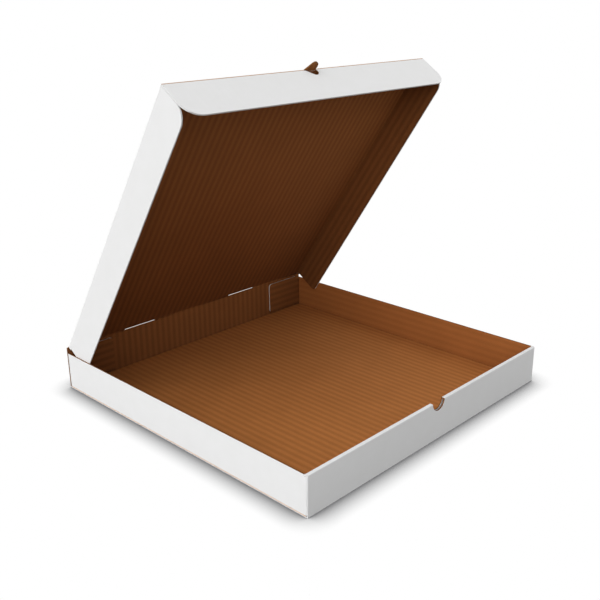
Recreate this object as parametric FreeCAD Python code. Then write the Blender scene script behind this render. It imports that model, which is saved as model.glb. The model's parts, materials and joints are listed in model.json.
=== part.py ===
import FreeCAD, Part

import math
import os

from FreeCAD import Vector

# A shallow pizza box of corrugated board, 16 inch class, white outside and brown kraft inside.
# It is one die-cut blank, folded into a tray and a lid that share the crease at the back.
# Origin: centre of the tray's footprint on the table. +X right, +Y to the back, +Z up, millimetres.

# The board and its folds
board = 1.4
ply_gap = 0.1
fold_inner = 0.25
fold_outer = 0.9
score_outer = 0.35
score_width = 0.9
score_depth = 0.45

# The tray
tray_width = 400.0
tray_depth = 402.0
wall_height = 45.0
floor_play = 0.1
roll_play = 0.2
corner_relief = 1.2
front_end_rounding = 1.2
front_flap_length = 62.0
rear_flap_length = 63.3
rear_flap_foot = 4.5
rear_flap_rise = 2.5
rear_flap_run = 9.0
rear_flap_corner = 4.0

# The tabs of the front wall's inner ply and their slots in the bottom
tab_width = 40.0
tab_offset = 90.0
tab_play_across = 0.15
tab_play_along = 0.3
tab_above_table = 0.2

# The thumb notch in the front wall
notch_radius = 10.5
notch_x = 1.0

# The crease at the back, which is the lid's hinge
hinge_above_walls = 6.5
hinge_play = 0.3
slit_starts = [-117.0, 57.6]
slit_length = 47.2
slit_down = 1.0
slit_up = 0.7

# The lid
lid_side_gap = 0.9
lid_front_gap = 6.0
lid_front_depth = 46.5
lid_front_corner = 20.0
lid_side_depth = 41.5
lid_side_front_corner = 16.0
lid_side_rear_corner = 6.0
lid_side_rear_start = 3.0
lid_side_shoulder = 4.8
lid_side_shoulder_slope = 1.4
lid_corner_play = 0.2
lid_opening = 55.9

# The heart cut through the lid's front crease: half a hole in the flap, half a tab in the lid
heart_tip_x = -11.5
heart_lobe_x = 1.0
heart_lobe_out = 4.2
heart_lobe_radius = 5.6

# Places that follow from the sizes above
front_wall = 3 * board + 2 * ply_gap
front_y = -tray_depth / 2
back_y = tray_depth / 2
side_x = tray_width / 2
strip_front_y = front_y + board + ply_gap
strip_back_y = back_y - board - ply_gap
inner_ply_y = front_y + front_wall - board
hinge_y = back_y - board / 2
hinge_z = wall_height + hinge_above_walls
lid_half_width = side_x - board - lid_side_gap
lid_front_y = front_y + front_wall + lid_front_gap
lid_top_z = hinge_z + board / 2
past = 5.0


def in_space(axis, point, along):
    """Place a section's point, with the section drawn across the named axis."""
    if axis == "x":
        return Vector(along, point.x, point.y)
    if axis == "y":
        return Vector(point.x, along, point.y)
    return Vector(point.x, point.y, along)


def rounded_corner(before, here, after, radius):
    """Start, middle and end of the arc that rounds a corner."""
    if radius <= 0:
        return here, None, here
    back = (before - here).normalize()
    ahead = (after - here).normalize()
    inward = (back + ahead).normalize()
    half = back.getAngle(ahead) / 2
    reach = radius / math.tan(half)
    centre = here + inward * (radius / math.sin(half))
    return here + back * reach, centre - inward * radius, here + ahead * reach


def outline_prism(axis, corners, radii, low, high):
    """Extrude a closed outline along an axis, with its corners rounded."""
    count = len(corners)
    arcs = []
    for i in range(count):
        arcs.append(rounded_corner(corners[i - 1], corners[i], corners[(i + 1) % count], radii[i]))
    edges = []
    for i in range(count):
        start, middle, end = arcs[i]
        if middle is not None:
            places = [in_space(axis, point, low) for point in (start, middle, end)]
            edges.append(Part.Arc(*places).toShape())
        following = arcs[(i + 1) % count][0]
        if end.distanceToPoint(following) > 1e-6:
            run = Part.LineSegment(in_space(axis, end, low), in_space(axis, following, low))
            edges.append(run.toShape())
    face = Part.Face(Part.Wire(edges))
    return face.extrude(in_space(axis, Vector(), high - low))


def folded_sheet(axis, path, low, high, fold_radii=None, round_start=False):
    """A strip of board folded along a path through the middle of its thickness."""
    half = board / 2
    last = len(path) - 1
    steps = [(path[i + 1] - path[i]).normalize() for i in range(last)]
    normals = [Vector(-step.y, step.x, 0) for step in steps]
    sides = {1: [], -1: []}
    rounds = {1: [], -1: []}
    for i, here in enumerate(path):
        before = normals[max(i - 1, 0)]
        after = normals[min(i, last - 1)]
        mitre = (before + after) * (half / (1 + before.dot(after)))
        turn = before.cross(after).z
        outer = fold_radii[i] if fold_radii else fold_outer
        for side in sides:
            point = here + mitre * side
            radius = 0
            if 0 < i < last:
                radius = fold_inner if turn * side > 0 else outer
            if i == 0 and round_start:
                point = point - steps[0] * half
                radius = half
            sides[side].append(point)
            rounds[side].append(radius)
    corners = sides[1] + sides[-1][::-1]
    radii = rounds[1] + rounds[-1][::-1]
    return outline_prism(axis, corners, radii, low, high)


def block(x_low, x_high, y_low, y_high, z_low, z_high):
    """A box between two opposite corners."""
    size = (x_high - x_low, y_high - y_low, z_high - z_low)
    return Part.makeBox(*size, Vector(x_low, y_low, z_low))


def mirrored(shape):
    """The same shape on the other side of the box's middle."""
    return shape.mirror(Vector(), Vector(1, 0, 0))


def score_line(axis, place, wall_side, low, high):
    """A V-shaped cut in a wall's outer face, where the liner is slit for the fold."""
    half = score_width / 2
    inward = -wall_side * score_depth
    outward = wall_side * score_depth
    corners = [
        place + Vector(inward, 0),
        place + Vector(0, half),
        place + Vector(outward, half),
        place + Vector(outward, -half),
        place + Vector(0, -half),
    ]
    return outline_prism(axis, corners, [0] * len(corners), low, high)


def front_bottom_back():
    """Front wall with its rolled-over inner ply, bottom, and back wall up to the hinge crease."""
    inner_middle = inner_ply_y + board / 2
    path = [
        Vector(hinge_y, hinge_z),
        Vector(hinge_y, board / 2),
        Vector(front_y + board / 2, board / 2),
        Vector(front_y + board / 2, wall_height - board / 2),
        Vector(inner_middle, wall_height - board / 2),
        Vector(inner_middle, board + floor_play),
    ]
    sheet = folded_sheet("x", path, -side_x, side_x, round_start=True)
    corners = [
        Vector(-side_x, 0),
        Vector(side_x, 0),
        Vector(side_x, hinge_z + past),
        Vector(-side_x, hinge_z + past),
    ]
    envelope = outline_prism("y", corners, [score_outer, score_outer, 0, 0], front_y, back_y)
    plan = [
        Vector(-side_x, front_y),
        Vector(side_x, front_y),
        Vector(side_x, back_y),
        Vector(-side_x, back_y),
    ]
    rounded_ends = [front_end_rounding, front_end_rounding, 0, 0]
    return sheet.common(envelope).common(outline_prism("z", plan, rounded_ends, -past, hinge_z + past))


def inner_ply_end():
    """The space beside the inner ply, which ends short of the left side wall."""
    inside = side_x - board - roll_play
    y_low = strip_front_y + board + ply_gap / 2
    z_high = wall_height - board
    return block(-side_x - past, -inside, y_low, y_low + board + ply_gap, board, z_high)


def side_folds():
    """Both side walls where they fold up from the bottom."""
    path = [
        Vector(-side_x + board / 2, wall_height - board - roll_play),
        Vector(-side_x + board / 2, board / 2),
        Vector(side_x - board / 2, board / 2),
        Vector(side_x - board / 2, wall_height - board - roll_play),
    ]
    y_low = strip_front_y + corner_relief
    y_high = strip_back_y - corner_relief
    return folded_sheet("y", path, y_low, y_high, fold_radii=[0, score_outer, score_outer, 0])


def left_side_strip():
    """Left side wall with its front corner flap, which the front wall's plies hold."""
    path = [
        Vector(-side_x + front_flap_length, strip_front_y + board / 2),
        Vector(-side_x + board / 2, strip_front_y + board / 2),
        Vector(-side_x + board / 2, strip_back_y - 2 * board),
    ]
    strip = folded_sheet("z", path, board + corner_relief, wall_height)
    under_roll = block(
        -side_x - past, -side_x + front_flap_length + past,
        front_y, front_y + front_wall + roll_play,
        wall_height - board - roll_play, wall_height + past)
    return strip.cut(under_roll)


def left_rear_flap():
    """Rear corner flap of the left side wall, which lies inside the back wall."""
    free_x = -side_x + rear_flap_length
    rise_x = -side_x + rear_flap_run
    top_z = wall_height + rear_flap_rise
    foot_z = board + corner_relief
    path = [
        Vector(-side_x + board / 2, strip_back_y - 3 * board),
        Vector(-side_x + board / 2, strip_back_y - board / 2),
        Vector(free_x, strip_back_y - board / 2),
    ]
    strip = folded_sheet("z", path, foot_z, top_z)
    corners = [
        Vector(-side_x, foot_z),
        Vector(-side_x + board + fold_outer, foot_z),
        Vector(rise_x, rear_flap_foot),
        Vector(free_x, rear_flap_foot),
        Vector(free_x, top_z),
        Vector(rise_x, top_z),
        Vector(-side_x + board + fold_outer, wall_height),
        Vector(-side_x, wall_height),
    ]
    radii = [0, 0, 0, rear_flap_corner, rear_flap_corner, 0, 0, 0]
    outline = outline_prism("y", corners, radii, strip_back_y - 4 * board, back_y)
    return strip.common(outline)


def lock_tab(centre_x):
    """A tab of the inner ply that stands in the bottom's slot."""
    half = tab_width / 2
    top_z = board + floor_play + board
    return block(centre_x - half, centre_x + half, inner_ply_y, inner_ply_y + board, tab_above_table, top_z)


def lock_slot(centre_x):
    """The slot that a tab stands in."""
    half = tab_width / 2 + tab_play_along
    y_low = inner_ply_y - tab_play_across
    y_high = inner_ply_y + board + tab_play_across
    return block(centre_x - half, centre_x + half, y_low, y_high, -past, board + floor_play / 2)


def hinge_slit_below(start_x):
    """The part of a slit on the hinge crease that lies in the back wall."""
    y_low = hinge_y - board
    y_high = hinge_y + board
    return block(start_x, start_x + slit_length, y_low, y_high, hinge_z - slit_down, hinge_z + board)


def make_tray():
    """The tray: bottom, back wall, side walls, double front wall and four corner flaps."""
    sheet = front_bottom_back()
    sheet = sheet.cut([inner_ply_end(), mirrored(inner_ply_end())])
    sheet = sheet.cut([lock_slot(-tab_offset), lock_slot(tab_offset)])
    strip = left_side_strip()
    flap = left_rear_flap()
    tabs = [lock_tab(-tab_offset), lock_tab(tab_offset)]
    tray = sheet.fuse([side_folds(), strip, mirrored(strip), flap, mirrored(flap)] + tabs)
    score_z = board + score_width / 2 - score_outer
    cuts = [hinge_slit_below(start) for start in slit_starts]
    for side in (-1, 1):
        place = Vector(side * side_x, score_z)
        y_low = strip_front_y + corner_relief
        y_high = strip_back_y - corner_relief
        cuts.append(score_line("y", place, side, y_low, y_high))
    notch_centre = Vector(notch_x, front_y - past, wall_height)
    cuts.append(Part.makeCylinder(notch_radius, front_wall + 2 * past, notch_centre, Vector(0, 1, 0)))
    return tray.cut(cuts).removeSplitter()


def panel_and_front_flap():
    """Lid panel and its front flap, closed, with the flap's free corners rounded."""
    front_middle = lid_front_y + board / 2
    flap_z = lid_top_z - lid_front_depth
    path = [
        Vector(hinge_y - board / 2 - hinge_play, hinge_z),
        Vector(front_middle, hinge_z),
        Vector(front_middle, flap_z),
    ]
    sheet = folded_sheet("x", path, -lid_half_width, lid_half_width, fold_radii=[0, score_outer, 0])
    corners = [
        Vector(-lid_half_width, flap_z),
        Vector(lid_half_width, flap_z),
        Vector(lid_half_width, lid_top_z),
        Vector(-lid_half_width, lid_top_z),
    ]
    radii = [lid_front_corner, lid_front_corner, fold_outer, fold_outer]
    return sheet.common(outline_prism("y", corners, radii, lid_front_y - past, back_y))


def lid_side_flaps():
    """Both side flaps of the lid, closed, with their free corners rounded."""
    flap_z = lid_top_z - lid_side_depth
    y_low = lid_front_y + board + lid_corner_play
    y_crease = hinge_y - board / 2 - hinge_play
    y_high = hinge_y - lid_side_rear_start
    shoulder_z = lid_top_z - lid_side_shoulder
    path = [
        Vector(-lid_half_width + board / 2, flap_z),
        Vector(-lid_half_width + board / 2, hinge_z),
        Vector(lid_half_width - board / 2, hinge_z),
        Vector(lid_half_width - board / 2, flap_z),
    ]
    sheet = folded_sheet("y", path, y_low, y_crease)
    corners = [
        Vector(y_low, flap_z),
        Vector(y_high, flap_z),
        Vector(y_high, shoulder_z - lid_side_shoulder_slope),
        Vector(y_crease, shoulder_z),
        Vector(y_crease, lid_top_z),
        Vector(y_low, lid_top_z),
    ]
    radii = [lid_side_front_corner, lid_side_rear_corner, 0, 0, 0, 0]
    return sheet.common(outline_prism("x", corners, radii, -side_x, side_x))


def half_heart(axis, base, out, low, high):
    """Prism of the half heart: a straight side from its tip, tangent to a round lobe."""
    tip = Vector(heart_tip_x, 0)
    centre = Vector(heart_lobe_x, heart_lobe_out)
    to_tip = tip - centre
    spread = math.acos(heart_lobe_radius / to_tip.Length)
    tip_angle = math.atan2(to_tip.y, to_tip.x)
    touch_angle = tip_angle - spread
    cleft_angle = -math.asin(heart_lobe_out / heart_lobe_radius)
    sweep = (touch_angle - cleft_angle) % (2 * math.pi)

    def on_lobe(angle):
        return centre + Vector(math.cos(angle), math.sin(angle)) * heart_lobe_radius

    def placed(point):
        return in_space(axis, Vector(point.x, base + out * point.y), low)

    touch = placed(on_lobe(cleft_angle + sweep))
    middle = placed(on_lobe(cleft_angle + sweep / 2))
    cleft = placed(on_lobe(cleft_angle))
    start = placed(tip)
    edges = [
        Part.LineSegment(start, touch).toShape(),
        Part.Arc(touch, middle, cleft).toShape(),
        Part.LineSegment(cleft, start).toShape(),
    ]
    face = Part.Face(Part.Wire(edges))
    return face.extrude(in_space(axis, Vector(), high - low))


def heart_tab():
    """The half of the heart that stays in the lid's plane, past the front crease."""
    z_low = hinge_z - board / 2
    cleft_x = heart_lobe_x + math.sqrt(heart_lobe_radius ** 2 - heart_lobe_out ** 2)
    lobe = half_heart("z", lid_front_y, -1, z_low, lid_top_z)
    root = block(heart_tip_x, cleft_x, lid_front_y, lid_front_y + 2 * board, z_low, lid_top_z)
    return lobe.fuse(root)


def hinge_slit_above(start_x):
    """The part of a slit on the hinge crease that lies in the lid."""
    y_low = hinge_y - board / 2 - hinge_play - slit_up
    return block(start_x, start_x + slit_length, y_low, back_y, hinge_z - board, hinge_z + board)


def make_lid():
    """The lid: panel, front flap and two side flaps, opened about the hinge crease."""
    lid = panel_and_front_flap()
    crease_z = lid_top_z - score_outer - score_width / 2
    crease = score_line("x", Vector(lid_front_y, crease_z), -1, -side_x, side_x)
    hole = half_heart("y", lid_top_z, -1, lid_front_y - past, lid_front_y + board)
    lid = lid.cut([crease, hole])
    lid = lid.fuse([lid_side_flaps(), heart_tab()])
    lid = lid.cut([hinge_slit_above(start) for start in slit_starts]).removeSplitter()
    lid.rotate(Vector(0, hinge_y, hinge_z), Vector(-1, 0, 0), lid_opening)
    return lid


os.makedirs("parts", exist_ok=True)
for name, make in (("tray", make_tray), ("lid", make_lid)):
    shape = make()
    solids = shape.Solids
    print(name, "solids", len(solids), "valid", shape.isValid(), "volume", round(shape.Volume, 1))
    solids[0].exportStep("parts/" + name + ".step")
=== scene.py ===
import json
import math

import bmesh
import bpy
from mathutils import Matrix, Vector


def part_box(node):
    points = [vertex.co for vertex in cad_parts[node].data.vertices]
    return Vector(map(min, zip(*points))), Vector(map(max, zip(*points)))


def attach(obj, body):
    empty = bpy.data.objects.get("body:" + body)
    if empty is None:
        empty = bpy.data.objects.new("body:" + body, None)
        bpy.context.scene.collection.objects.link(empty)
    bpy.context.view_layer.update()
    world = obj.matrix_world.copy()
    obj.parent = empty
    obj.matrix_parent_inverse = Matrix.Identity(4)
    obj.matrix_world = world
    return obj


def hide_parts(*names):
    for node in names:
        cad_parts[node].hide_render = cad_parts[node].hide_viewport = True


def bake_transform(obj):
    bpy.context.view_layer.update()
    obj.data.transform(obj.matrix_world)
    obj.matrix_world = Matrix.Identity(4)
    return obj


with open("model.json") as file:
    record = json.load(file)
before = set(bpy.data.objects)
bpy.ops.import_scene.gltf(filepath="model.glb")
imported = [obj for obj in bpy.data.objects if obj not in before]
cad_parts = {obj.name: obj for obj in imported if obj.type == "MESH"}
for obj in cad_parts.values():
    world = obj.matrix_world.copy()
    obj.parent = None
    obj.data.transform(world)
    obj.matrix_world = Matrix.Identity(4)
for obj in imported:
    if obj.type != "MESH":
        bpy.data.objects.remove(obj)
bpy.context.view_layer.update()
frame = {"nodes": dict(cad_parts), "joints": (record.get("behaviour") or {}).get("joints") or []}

# The board and its folds, in metres
MM = 0.001
BOARD = 1.4 * MM
PLY_GAP = 0.1 * MM
FLUTE = 2.967 * MM
WASHBOARD = 3 * FLUTE

# The tray, whose width and depth come from the frame
tray_low, tray_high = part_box("tray")
SIDE = tray_high.x
FRONT = tray_low.y
BACK = tray_high.y
WALL_TOP = 45.0 * MM
FRONT_WALL = 4.4 * MM
FRONT_END = 1.3 * MM
NOTCH_X = 1.0 * MM
NOTCH_RADIUS = 10.5 * MM
NOTCH_BAND = 0.3 * MM
REAR_FLAP_EDGE = 136.7 * MM
REAR_FLAP_RUN = 9.0 * MM
TRAY_SCORE_LOW = 0.9 * MM
TRAY_SCORE_HIGH = 2.1 * MM
SCORE_WIDTH = 0.6 * MM

# The lid, whose hinge comes from the frame
HINGE = Vector(frame["joints"][0]["pos_m"])
FRONT_GAP = 6.0 * MM
LID_LENGTH = HINGE.y - (FRONT + FRONT_WALL + FRONT_GAP)
LID_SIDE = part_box("lid")[1].x
LID_OPENING = math.radians(55.9)
LID_TURN = math.pi / 2 - LID_OPENING
LID_SCORE_DEPTH = 1.2 * MM
HEART_LOW = -12.5 * MM
HEART_HIGH = 8.0 * MM
HEART_DEPTH = 11.0 * MM

# The crease between them, built bent to the open lid, with two slits through it
CREASE_PROUD = 0.02 * MM
CREASE_DOWN = 1.3 * MM
CREASE_UP = 1.7 * MM
CREASE_STEPS = 10
BEND_DOWN = 0.7 * MM
BEND_LENGTH = 1.6 * MM
SLITS = ((-117.0 * MM, -69.8 * MM), (57.6 * MM, 104.8 * MM))
SLIT_ROWS = (2, 9)

# Directions of the open lid: along it from the hinge, and from its outer face to its inner one
ALONG_LID = Vector((0, -math.cos(LID_OPENING), math.sin(LID_OPENING)))
INTO_LID = Vector((0, -math.sin(LID_OPENING), -math.cos(LID_OPENING)))

# Kinds of surface, in the order of the material slots; the three krafts are one paper in copies that differ
# by painted shade
WHITE, KRAFT, FLOOR_KRAFT, WALL_KRAFT, RAW, PALE, SCORE = range(7)

# How faces are told apart: what counts as the same place, how near to a fold its outer side is looked for,
# and how much of a face's normal lies along a direction when it leans that way, when it stands edgewise to
# it (less than this), when it looks steeply or squarely along it, and when it slopes as a score's side does
CLOSE = 0.05 * MM
FOLD_ZONE = 8 * MM
LEAN = 0.3
EDGEWISE = 0.5
STEEP = 0.7
FLAT = 0.99
SCORE_SLOPE = (0.15, 0.95)

# How the solids' meshes are cleaned and shaded: corners nearer than this become one, edges flatter than
# this are left out, and edges sharper than this stay sharp
WELD = 0.002 * MM
FLAT_ANGLE = math.radians(0.4)
SMOOTH_ANGLE = math.radians(35)

# The kraft side's colours, in three copies of one paper that differ by painted shade: the lid's, which the
# back wall shares, is painted darkest, the tray walls' darker than the floor's, and each deep_shade paints
# shade deep inside the box, out to DEPTH_REACH.
LID_KRAFT = {
    "dull": (0.340, 0.125, 0.036, 1),
    "bright": (0.381, 0.141, 0.041, 1),
    "stripe_shade": (0.51, 0.48, 0.45, 1),
    "deep_shade": (0.37, 0.34, 0.32, 1),
}
TRAY_FLOOR_KRAFT = {
    "dull": (0.480, 0.178, 0.047, 1),
    "bright": (0.537, 0.200, 0.054, 1),
    "stripe_shade": (0.62, 0.59, 0.56, 1),
    "deep_shade": (0.88, 0.88, 0.89, 1),
}
TRAY_WALL_KRAFT = {
    "dull": (0.380, 0.132, 0.034, 1),
    "bright": (0.420, 0.147, 0.039, 1),
    "stripe_shade": (0.78, 0.76, 0.74, 1),
    "deep_shade": (0.90, 0.90, 0.91, 1),
}
KRAFT_STREAK = (0.29, 0.108, 0.028, 1)
STREAK_STRETCH = (1.0, 0.18, 1.0)
KRAFT_FIBRE = (0.58, 0.29, 0.11, 1)
KRAFT_FLECK = (0.20, 0.08, 0.03, 1)
DEPTH_REACH = 300 * MM

# The white side's colours
WHITE_DULL = (0.875, 0.875, 0.872, 1)
WHITE_BRIGHT = (0.895, 0.895, 0.895, 1)
WHITE_FIBRE = (0.80, 0.795, 0.78, 1)

# The cut edges' colours, and how much of the thickness the two liners take. The pale edge is partly the
# board's own pale cut edge and partly painted light: it is painted lighter so that edges in shade still
# look bright.
RAW_EDGE = {
    "hollow": (0.09, 0.034, 0.009, 1),
    "medium": (0.32, 0.127, 0.034, 1),
    "liner": (0.27, 0.105, 0.026, 1),
    "liner_share": 0.28,
}
PALE_EDGE = {
    "hollow": (0.62, 0.60, 0.56, 1),
    "medium": (0.86, 0.85, 0.82, 1),
    "liner": (0.88, 0.88, 0.87, 1),
    "liner_share": 0.34,
}
TORN_DARK = (0.52, 0.29, 0.15, 1)
TORN_LIGHT = (0.76, 0.52, 0.35, 1)

# Painted shade: both sides are painted darker in the narrow creases
CREASE_REACH = 5 * MM
CREASE_SHADE = (0.50, 0.49, 0.48, 1)

# The light, and the shadow at the box's feet
SKY_LOW = 0.08
SKY_HIGH = 0.60
SKY_LEFT = 2.13
SKY_RIGHT = 0.25
FLOOR_SIZE = 40.0
FLOOR_GLOW = 0.165
SHADOW_REACH = 28 * MM
SHADOW_CURVE = 0.8
SHADOW_DARKEST = (0.17, 0.17, 0.175, 1)
PURE_WHITE = (1, 1, 1, 1)

# The view: the photograph's width and focal length in pixels, the sensor in millimetres, angles in degrees
# and distances in metres
PHOTO_WIDTH = 600
SENSOR_WIDTH = 36.0
VIEW_FOCAL = 840.24
VIEW_AZIMUTH = -45.622
VIEW_ELEVATION = 20.034
VIEW_ROLL = -0.582
VIEW_DISTANCE = 1.03413
VIEW_RIGHT = -0.0023
VIEW_UP = 0.10292


class Nodes:
    """Builds the nodes of a material or world, with short calls for those used here."""

    def __init__(self, owner):
        self.owner = owner
        owner.use_nodes = True
        self.tree = owner.node_tree
        self.tree.nodes.clear()

    def add(self, kind, inputs=(), **settings):
        node = self.tree.nodes.new(kind)
        for key, value in settings.items():
            setattr(node, key, value)
        for key, value in dict(inputs).items():
            self.put(node.inputs[key], value)
        return node

    def put(self, socket, value):
        if isinstance(value, bpy.types.NodeSocket):
            self.tree.links.new(value, socket)
        else:
            socket.default_value = value

    def math(self, operation, *values):
        node = self.add("ShaderNodeMath", operation=operation)
        for socket, value in zip(node.inputs, values):
            self.put(socket, value)
        return node.outputs[0]

    def mix(self, factor, first, second, blend="MIX"):
        node = self.add("ShaderNodeMix", data_type="RGBA", blend_type=blend)
        self.put(node.inputs["Factor"], factor)
        self.put(node.inputs["A"], first)
        self.put(node.inputs["B"], second)
        return node.outputs["Result"]

    def noise(self, scale, detail, vector):
        inputs = {"Scale": scale, "Detail": detail, "Roughness": 0.55, "Vector": vector}
        return self.add("ShaderNodeTexNoise", inputs).outputs["Fac"]

    def remap(self, value, low, high, to_low, to_high):
        inputs = {"Value": value, "From Min": low, "From Max": high, "To Min": to_low, "To Max": to_high}
        return self.add("ShaderNodeMapRange", inputs).outputs["Result"]

    def sheet(self):
        """The board's own coordinates, and two of them: across its flutes, and through it from -1 to 1."""
        node = self.add("ShaderNodeAttribute", attribute_name="sheet", attribute_type="GEOMETRY")
        vector = node.outputs["Vector"]
        split = self.add("ShaderNodeSeparateXYZ", {"Vector": vector})
        return {"vector": vector, "across": split.outputs["X"], "through": split.outputs["Z"]}

    def place(self):
        return self.add("ShaderNodeTexCoord").outputs["Object"]

    def shaded(self, colour, shade, reach, low, high, local=False):
        """A colour times a shade where other faces are near."""
        openness = self.add("ShaderNodeAmbientOcclusion", {"Distance": reach}, samples=8, only_local=local)
        share = self.remap(openness.outputs["AO"], low, high, 1.0, 0.0)
        return self.mix(share, colour, shade, "MULTIPLY")

    def bump(self, height, distance):
        return self.add("ShaderNodeBump", {"Height": height, "Distance": distance}).outputs["Normal"]

    def surface(self, colour, roughness, normal, specular):
        inputs = {
            "Base Color": colour,
            "Roughness": roughness,
            "Specular IOR Level": specular,
            "Normal": normal,
        }
        shader = self.add("ShaderNodeBsdfPrincipled", inputs)
        self.add("ShaderNodeOutputMaterial", {"Surface": shader.outputs["BSDF"]})
        return self.owner

    def seen_or_light(self, seen, light):
        """One shader for what the camera sees, also in gloss and through glass, and one for the light."""
        path = self.add("ShaderNodeLightPath")
        direct = self.math("MAXIMUM", path.outputs["Is Camera Ray"], path.outputs["Is Glossy Ray"])
        direct = self.math("MAXIMUM", direct, path.outputs["Is Transmission Ray"])
        choose = self.add("ShaderNodeMixShader", {0: direct, 1: light.outputs[0], 2: seen.outputs[0]})
        return choose.outputs[0]


def new_nodes(name):
    """The nodes of a new material."""
    return Nodes(bpy.data.materials.new(name))


def washboard(nodes, across):
    """The soft ridges that the flutes press into a liner, from 0 to 1."""
    turn = nodes.math("MULTIPLY", across, 2 * math.pi / WASHBOARD)
    return nodes.math("MULTIPLY_ADD", nodes.math("COSINE", turn), 0.5, 0.5)


def white_liner():
    """Coated white paper: smooth, with a faint mottle, fine fibres, hardly any flute ridges and painted
    shade in narrow creases and grooves.
    """
    nodes = new_nodes("white_liner")
    ridges = washboard(nodes, nodes.sheet()["across"])
    place = nodes.place()
    mottle = nodes.noise(55.0, 4.0, place)
    fibres = nodes.noise(1400.0, 2.0, place)
    colour = nodes.mix(nodes.remap(mottle, 0.3, 0.7, 0.0, 1.0), WHITE_DULL, WHITE_BRIGHT)
    colour = nodes.mix(nodes.remap(fibres, 0.35, 0.75, 0.0, 0.12), colour, WHITE_FIBRE)
    # Painted shade in the narrow creases and grooves
    colour = nodes.shaded(colour, CREASE_SHADE, CREASE_REACH / 2, 0.1, 0.8, local=True)
    height = nodes.math("ADD", nodes.math("MULTIPLY", ridges, 0.6), nodes.math("MULTIPLY", fibres, 0.5))
    roughness = nodes.remap(mottle, 0.3, 0.7, 0.50, 0.58)
    return nodes.surface(colour, roughness, nodes.bump(height, 0.03 * MM), specular=0.4)


def kraft_liner(name, dull, bright, stripe_shade, deep_shade):
    """Brown kraft paper: flute ridges in light and dark stripes, fibres and darker flecks, with painted
    shade deep inside the box and in the narrow creases.
    """
    nodes = new_nodes(name)
    sheet = nodes.sheet()
    place = nodes.place()
    ridges = washboard(nodes, sheet["across"])
    inputs = {0: sheet["vector"], 1: STREAK_STRETCH}
    drawn_out = nodes.add("ShaderNodeVectorMath", inputs, operation="MULTIPLY")
    streaks = nodes.noise(420.0, 3.0, drawn_out.outputs["Vector"])
    cloud = nodes.noise(18.0, 3.0, place)
    fibres = nodes.noise(1900.0, 2.0, place)
    flecks = nodes.noise(900.0, 1.0, place)
    base = nodes.mix(nodes.remap(cloud, 0.3, 0.7, 0.0, 1.0), dull, bright)
    wander = nodes.math("MULTIPLY_ADD", nodes.noise(9.0, 2.0, place), 0.5, 0.75)
    stripe = nodes.math("MULTIPLY", nodes.remap(ridges, 0.15, 0.85, 0.50, 0.0), wander)
    colour = nodes.mix(stripe, base, stripe_shade, "MULTIPLY")
    colour = nodes.mix(nodes.remap(streaks, 0.35, 0.7, 0.16, 0.0), colour, KRAFT_STREAK)
    colour = nodes.mix(nodes.remap(fibres, 0.5, 0.8, 0.0, 0.22), colour, KRAFT_FIBRE)
    colour = nodes.mix(nodes.remap(flecks, 0.68, 0.78, 0.0, 0.45), colour, KRAFT_FLECK)
    # Painted shade: darker where the box closes round, and darker still in the narrow creases
    colour = nodes.shaded(colour, deep_shade, DEPTH_REACH, 0.1, 0.85)
    colour = nodes.shaded(colour, CREASE_SHADE, CREASE_REACH, 0.25, 0.8, local=True)
    height = nodes.math("ADD", ridges, nodes.math("MULTIPLY", fibres, 0.35))
    roughness = nodes.remap(fibres, 0.3, 0.7, 0.72, 0.86)
    return nodes.surface(colour, roughness, nodes.bump(height, 0.09 * MM), specular=0.12)


def board_edge(name, hollow, medium, liner, liner_share):
    """A cut edge of the board: the fluted medium as a wave between its two liners."""
    nodes = new_nodes(name)
    sheet = nodes.sheet()
    turn = nodes.math("MULTIPLY", sheet["across"], 2 * math.pi / FLUTE)
    wave = nodes.math("MULTIPLY", nodes.math("SINE", turn), 0.6)
    gap = nodes.math("ABSOLUTE", nodes.math("SUBTRACT", sheet["through"], wave))
    on_wave = nodes.remap(gap, 0.22, 0.42, 1.0, 0.0)
    liner_from = 1 - liner_share
    liner_full = 1 - liner_share * 0.6
    on_liner = nodes.remap(nodes.math("ABSOLUTE", sheet["through"]), liner_from, liner_full, 0.0, 1.0)
    fibres = nodes.noise(2600.0, 3.0, nodes.place())
    colour = nodes.mix(on_wave, hollow, medium)
    colour = nodes.mix(on_liner, colour, liner)
    colour = nodes.mix(nodes.remap(fibres, 0.35, 0.75, 0.0, 0.25), colour, medium)
    height = nodes.math("MAXIMUM", on_wave, on_liner)
    height = nodes.math("ADD", height, nodes.math("MULTIPLY", fibres, 0.4))
    return nodes.surface(colour, 0.85, nodes.bump(height, 0.12 * MM), specular=0.15)


def score_cut():
    """The torn paper inside a slit liner, lighter than the kraft face."""
    nodes = new_nodes("score_cut")
    fibres = nodes.noise(2200.0, 3.0, nodes.place())
    colour = nodes.mix(fibres, TORN_DARK, TORN_LIGHT)
    return nodes.surface(colour, 0.9, nodes.bump(fibres, 0.05 * MM), specular=0.12)


def board_materials():
    """The slots that every board piece has, in the order of the kinds of surface."""
    raw = board_edge("brown_edge", **RAW_EDGE)
    pale = board_edge("pale_edge", **PALE_EDGE)
    # The three krafts are one paper; the lid's and the side walls' copies are painted darker than the
    # floor's as painted shade
    kraft = kraft_liner("kraft_liner", **LID_KRAFT)
    floor_kraft = kraft_liner("floor_kraft_liner", **TRAY_FLOOR_KRAFT)
    wall_kraft = kraft_liner("wall_kraft_liner", **TRAY_WALL_KRAFT)
    return [white_liner(), kraft, floor_kraft, wall_kraft, raw, pale, score_cut()]


def away_from(value, low, high):
    """How far a value lies outside a span."""
    return value - min(max(value, low), high)


def by_outward(outward, normal, edge):
    """White where a face looks out of the box, kraft where it looks in, and an edge between."""
    if outward.length < 1e-9:
        return edge
    share = outward.normalized().dot(normal)
    if abs(share) < LEAN:
        return edge
    return WHITE if share > 0 else KRAFT


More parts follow.
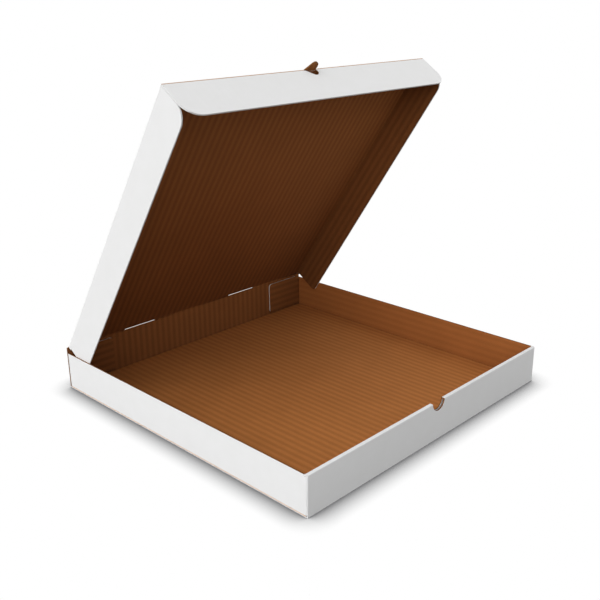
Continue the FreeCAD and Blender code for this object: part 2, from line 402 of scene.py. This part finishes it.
def slopes(normal):
    """Whether a face slopes as the sides of a score do."""
    low, high = SCORE_SLOPE
    return low < abs(normal.z) < high


def at_rear_flaps(place):
    """Whether a place is as far back as the rear corner flaps, which lie inside the back wall."""
    return BACK - 2 * BOARD - PLY_GAP - 2 * CLOSE < place.y < BACK - BOARD - CLOSE


def front_wall_kind(place, normal):
    """The kind of a face of the double front wall, whose inner ply shows its white side."""
    on_rim = place.z > WALL_TOP - BOARD - CLOSE and normal.z > LEAN
    on_end = abs(place.x) > SIDE - FRONT_END and abs(normal.x) > LEAN and place.y - FRONT < BOARD
    on_ply = abs(normal.y) > LEAN or normal.z < -LEAN
    return WHITE if on_rim or on_end or on_ply else RAW


def tray_kind(place, normal):
    """The kind of a face of the tray, by its place and the way it looks."""
    depth = place.y - FRONT
    wide = abs(place.x)

    from_notch = Vector((place.x - NOTCH_X, 0, place.z - WALL_TOP))
    on_notch = abs(from_notch.length - NOTCH_RADIUS) < NOTCH_BAND
    if depth < FRONT_WALL + CLOSE and on_notch and from_notch.normalized().dot(normal) < -STEEP:
        return RAW

    if place.y > BACK - BOARD - CLOSE and place.z > BOARD and abs(normal.x) > STEEP:
        return RAW

    in_side_wall = wide > SIDE - BOARD - CLOSE and depth > BOARD + CLOSE
    if depth < FRONT_WALL + CLOSE and place.z > BOARD + CLOSE and not in_side_wall:
        return front_wall_kind(place, normal)

    in_bottom = wide < SIDE - BOARD and abs(place.y) < BACK - BOARD
    if in_bottom and place.z < BOARD + CLOSE and abs(normal.z) < EDGEWISE:
        return RAW
    if in_bottom and CLOSE < place.z < BOARD and normal.z < -EDGEWISE:
        return RAW

    in_score = TRAY_SCORE_LOW < place.z < TRAY_SCORE_HIGH and wide > SIDE - SCORE_WIDTH
    if in_score and slopes(normal):
        return SCORE

    if at_rear_flaps(place) and REAR_FLAP_EDGE - CLOSE < wide < SIDE - 2 * BOARD:
        if abs(normal.y) < EDGEWISE:
            return PALE if wide < SIDE - REAR_FLAP_RUN else RAW
        return WHITE if normal.y > 0 else KRAFT

    in_wall = place.z >= BOARD and (wide > SIDE - BOARD or abs(place.y) > BACK - BOARD)
    outward = Vector((
        away_from(place.x, -SIDE + FOLD_ZONE, SIDE - FOLD_ZONE),
        away_from(place.y, FRONT + FOLD_ZONE, BACK - FOLD_ZONE),
        0 if in_wall else min(place.z - FOLD_ZONE, 0),
    ))
    kind = by_outward(outward, normal, RAW)
    # The tray's kraft faces, but for the back wall and rear flaps, take the floor's or the side walls'
    # copy, which differ from the lid's by painted shade
    if kind == KRAFT and place.y < BACK - BOARD - CLOSE:
        return FLOOR_KRAFT if place.z < BOARD + CLOSE else WALL_KRAFT
    return kind


def lid_axes(direction):
    """A direction in the open lid's own axes: along it, across it, and into it."""
    return Vector((direction.dot(ALONG_LID), direction.x, direction.dot(INTO_LID)))


def lid_kind(place, normal):
    """The kind of a face of the lid, by its place in the lid and the way it looks."""
    out, wide, inward = lid_axes(place - HINGE)
    turned = lid_axes(normal)

    if out > LID_LENGTH + CLOSE:
        if abs(turned.z) < EDGEWISE:
            return RAW
        return WHITE if turned.z < 0 else KRAFT

    in_flap = out > LID_LENGTH - BOARD - CLOSE and inward < HEART_DEPTH
    in_heart = in_flap and HEART_LOW < wide < HEART_HIGH
    if in_heart and abs(turned.x) < LEAN and abs(turned.z) < FLAT:
        return RAW

    in_score = out > LID_LENGTH - SCORE_WIDTH and inward < LID_SCORE_DEPTH
    if in_score and slopes(turned):
        return SCORE

    outward = Vector((
        max(out - (LID_LENGTH - FOLD_ZONE), 0),
        away_from(wide, -LID_SIDE + FOLD_ZONE, LID_SIDE - FOLD_ZONE),
        min(inward - FOLD_ZONE, 0) if inward < BOARD else 0,
    ))
    return by_outward(outward, turned, PALE)


def tray_panel(place):
    """The axes across the flutes, along them and through the board, its middle and which way is out."""
    wide = abs(place.x)
    half = BOARD / 2
    left_or_right = math.copysign(1, place.x)
    above_bottom = place.z > BOARD + CLOSE
    if at_rear_flaps(place) and wide > REAR_FLAP_EDGE - CLOSE and above_bottom:
        return 2, 0, 1, BACK - BOARD - PLY_GAP - half, 1
    if wide > SIDE - BOARD - CLOSE and place.z > BOARD and FRONT + BOARD < place.y < BACK - BOARD:
        return 2, 1, 0, left_or_right * (SIDE - half), left_or_right
    if place.y < FRONT + BOARD + CLOSE:
        return 0, 2, 1, FRONT + half, -1
    if place.y < FRONT + FRONT_WALL + CLOSE and above_bottom:
        if place.z > WALL_TOP - BOARD - CLOSE:
            return 0, 1, 2, WALL_TOP - half, 1
        return 0, 2, 1, FRONT + FRONT_WALL - half, 1
    if place.y > BACK - BOARD - CLOSE:
        return 0, 2, 1, BACK - half, 1
    return 0, 1, 2, half, -1


def lid_panel(place):
    """The same for a place in the lid's own axes."""
    out, wide, inward = place
    half = BOARD / 2
    left_or_right = math.copysign(1, wide)
    if abs(wide) > LID_SIDE - BOARD - CLOSE and inward > half:
        return 2, 0, 1, left_or_right * (LID_SIDE - half), left_or_right
    if out > LID_LENGTH - BOARD - CLOSE and inward > half:
        return 1, 2, 0, LID_LENGTH - half, 1
    return 1, 0, 2, 0, -1


def on_sheet(place, panel):
    """The board's coordinates at a place on a panel."""
    across, along, through, middle, outward = panel
    return Vector((place[across], place[along], outward * (place[through] - middle) / (BOARD / 2)))


def tray_place(place):
    """A place in the tray's own axes, which are the scene's."""
    return place


def lid_place(place):
    """A place in the open lid's own axes."""
    return lid_axes(place - HINGE)


def new_piece(name, mesh, materials):
    """A new object of a mesh, with all the board's materials."""
    for material in materials:
        mesh.materials.append(material)
    piece = bpy.data.objects.new(name, mesh)
    bpy.context.scene.collection.objects.link(piece)
    return piece


def keep_edges_sharp(form):
    """Shades round folds smoothly, and keeps corners and the borders between kinds of surface sharp."""
    for face in form.faces:
        face.smooth = True
    for edge in form.edges:
        sharp = len(edge.link_faces) != 2 or edge.calc_face_angle(0) > SMOOTH_ANGLE
        border = len({face.material_index for face in edge.link_faces}) > 1
        edge.smooth = not (sharp or border)


def board_piece(name, node, kind_of, own_place, panel_of, materials):
    """A copy of a CAD node's shape with each face given its own side of the board."""
    mesh = frame["nodes"][node].data.copy()
    mesh.name = name
    mesh.materials.clear()
    piece = new_piece(name, mesh, materials)
    form = bmesh.new()
    form.from_mesh(mesh)
    bmesh.ops.remove_doubles(form, verts=form.verts, dist=WELD)
    bmesh.ops.dissolve_limit(
        form, angle_limit=FLAT_ANGLE, verts=form.verts, edges=form.edges, delimit={"NORMAL"})
    bmesh.ops.triangulate(form, faces=form.faces, quad_method="BEAUTY", ngon_method="BEAUTY")
    layer = form.loops.layers.float_vector.new("sheet")
    for face in form.faces:
        centre = face.calc_center_median()
        face.material_index = kind_of(centre, face.normal)
        panel = panel_of(own_place(centre))
        for loop in face.loops:
            loop[layer] = on_sheet(own_place(loop.vert.co), panel)
    keep_edges_sharp(form)
    form.to_mesh(mesh)
    form.free()
    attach(piece, node)
    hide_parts(node)


def crease_rows():
    """The crease from side view: pairs of an outer and an inner point, up from the back wall to the lid."""
    half = BOARD / 2 + CREASE_PROUD
    rows = []
    for step in range(CREASE_STEPS + 1):
        along = -CREASE_DOWN + (CREASE_DOWN + CREASE_UP) * (step / CREASE_STEPS)
        turn = LID_TURN * min(max((along + BEND_DOWN) / BEND_LENGTH, 0), 1)
        outward = Vector((0, math.cos(turn), math.sin(turn)))
        if along <= 0:
            middle = HINGE + Vector((0, 0, along))
        else:
            middle = HINGE + Vector((0, -math.sin(LID_TURN), math.cos(LID_TURN))) * along
        rows.append((middle + outward * half, middle - outward * half))
    return rows


def crease_strips(rows):
    """The strips that the slits leave of the crease: where each starts and ends, and its rows."""
    start_row, end_row = SLIT_ROWS
    low = -LID_SIDE
    strips = []
    for start, end in SLITS:
        strips.append((low, start, rows))
        strips.append((start, end, rows[:start_row + 1]))
        strips.append((start, end, rows[end_row:]))
        low = end
    strips.append((low, LID_SIDE, rows))
    return strips


def add_strip(form, start, end, rows):
    """One closed strip of the crease."""
    rings = []
    for x in (start, end):
        outer = [form.verts.new((x, point.y, point.z)) for point, other in rows]
        inner = [form.verts.new((x, other.y, other.z)) for point, other in rows]
        rings.append((outer, inner))
    (outer_a, inner_a), (outer_b, inner_b) = rings
    last = len(rows) - 1
    sides = []
    for i in range(last):
        sides += [
            ((outer_a[i], outer_b[i], outer_b[i + 1], outer_a[i + 1]), WHITE),
            ((inner_a[i + 1], inner_b[i + 1], inner_b[i], inner_a[i]), KRAFT),
            ((outer_a[i + 1], inner_a[i + 1], inner_a[i], outer_a[i]), RAW),
            ((outer_b[i], inner_b[i], inner_b[i + 1], outer_b[i + 1]), RAW),
        ]
    sides += [
        ((outer_a[0], inner_a[0], inner_b[0], outer_b[0]), RAW),
        ((outer_b[last], inner_b[last], inner_a[last], outer_a[last]), RAW),
    ]
    for corners, kind in sides:
        form.faces.new(corners).material_index = kind


def add_crease(materials):
    """The crease at the back: a narrow strip of board, bent from the tray up into the open lid."""
    rows = crease_rows()
    mesh = bpy.data.meshes.new("hinge_crease")
    form = bmesh.new()
    layer = form.loops.layers.float_vector.new("sheet")
    for start, end, strip in crease_strips(rows):
        add_strip(form, start, end, strip)
    for face in form.faces:
        for loop in face.loops:
            co = loop.vert.co
            loop[layer] = Vector((co.x, co.z, 1 if co.y > HINGE.y else -1))
        face.smooth = True
    bmesh.ops.recalc_face_normals(form, faces=form.faces)
    form.to_mesh(mesh)
    form.free()
    piece = new_piece("hinge_crease", mesh, materials)
    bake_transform(piece)


def add_floor():
    """A pale floor, white to the camera away from the box, with a soft shadow at its feet."""
    mesh = bpy.data.meshes.new("floor")
    half = FLOOR_SIZE / 2
    corners = [(-half, -half, 0), (half, -half, 0), (half, half, 0), (-half, half, 0)]
    mesh.from_pydata(corners, [], [(0, 1, 2, 3)])
    floor = bpy.data.objects.new("floor", mesh)
    bpy.context.scene.collection.objects.link(floor)
    nodes = new_nodes("floor")
    openness = nodes.add("ShaderNodeAmbientOcclusion", {"Distance": SHADOW_REACH}, samples=16)
    light = nodes.remap(openness.outputs["AO"], 0.5, 1.0, 0.0, 1.0)
    light = nodes.math("POWER", light, SHADOW_CURVE)
    tone = nodes.mix(light, SHADOW_DARKEST, PURE_WHITE)
    seen = nodes.add("ShaderNodeEmission", {"Color": tone})
    glow = nodes.add("ShaderNodeEmission", {"Strength": FLOOR_GLOW})
    nodes.add("ShaderNodeOutputMaterial", {"Surface": nodes.seen_or_light(seen, glow)})
    mesh.materials.append(nodes.owner)


def add_world():
    """A pale sky, brightest on the left as from a wide window, and white where the camera sees it."""
    world = bpy.data.worlds.new("studio")
    bpy.context.scene.world = world
    nodes = Nodes(world)
    direction = nodes.add("ShaderNodeTexCoord").outputs["Generated"]
    split = nodes.add("ShaderNodeSeparateXYZ", {"Vector": direction})
    upward = nodes.remap(split.outputs["Z"], 0.0, 1.0, SKY_LOW, SKY_HIGH)
    left = nodes.remap(split.outputs["X"], -1.0, 0.0, SKY_LEFT, 0.0)
    right = nodes.remap(split.outputs["X"], 0.0, 1.0, 0.0, SKY_RIGHT)
    strength = nodes.math("ADD", nodes.math("ADD", left, right), upward)
    light = nodes.add("ShaderNodeBackground", {"Color": PURE_WHITE, "Strength": strength})
    seen = nodes.add("ShaderNodeBackground", {"Color": PURE_WHITE})
    nodes.add("ShaderNodeOutputWorld", {"Surface": nodes.seen_or_light(seen, light)})


def add_camera():
    """The camera, where the photograph was taken from."""
    azimuth = math.radians(VIEW_AZIMUTH)
    elevation = math.radians(VIEW_ELEVATION)
    flat = math.cos(elevation)
    back = Vector((math.sin(azimuth) * flat, -math.cos(azimuth) * flat, math.sin(elevation)))
    right = (-back).cross(Vector((0, 0, 1))).normalized()
    up = right.cross(-back)
    roll = Matrix.Rotation(math.radians(VIEW_ROLL), 3, back)
    right = roll @ right
    up = roll @ up
    data = bpy.data.cameras.new("camera")
    data.sensor_width = SENSOR_WIDTH
    data.lens = VIEW_FOCAL / PHOTO_WIDTH * SENSOR_WIDTH
    data.clip_start = 0.01
    data.clip_end = 50.0
    camera = bpy.data.objects.new("camera", data)
    place = Matrix((right, up, back)).transposed().to_4x4()
    place.translation = back * VIEW_DISTANCE + right * VIEW_RIGHT + up * VIEW_UP
    camera.matrix_world = place
    bpy.context.scene.collection.objects.link(camera)
    bpy.context.scene.camera = camera


bpy.context.scene.view_settings.view_transform = "Standard"
board = board_materials()
board_piece("tray_board", "tray", tray_kind, tray_place, tray_panel, board)
board_piece("lid_board", "lid", lid_kind, lid_place, lid_panel, board)
add_crease(board)
add_floor()
add_world()
add_camera()
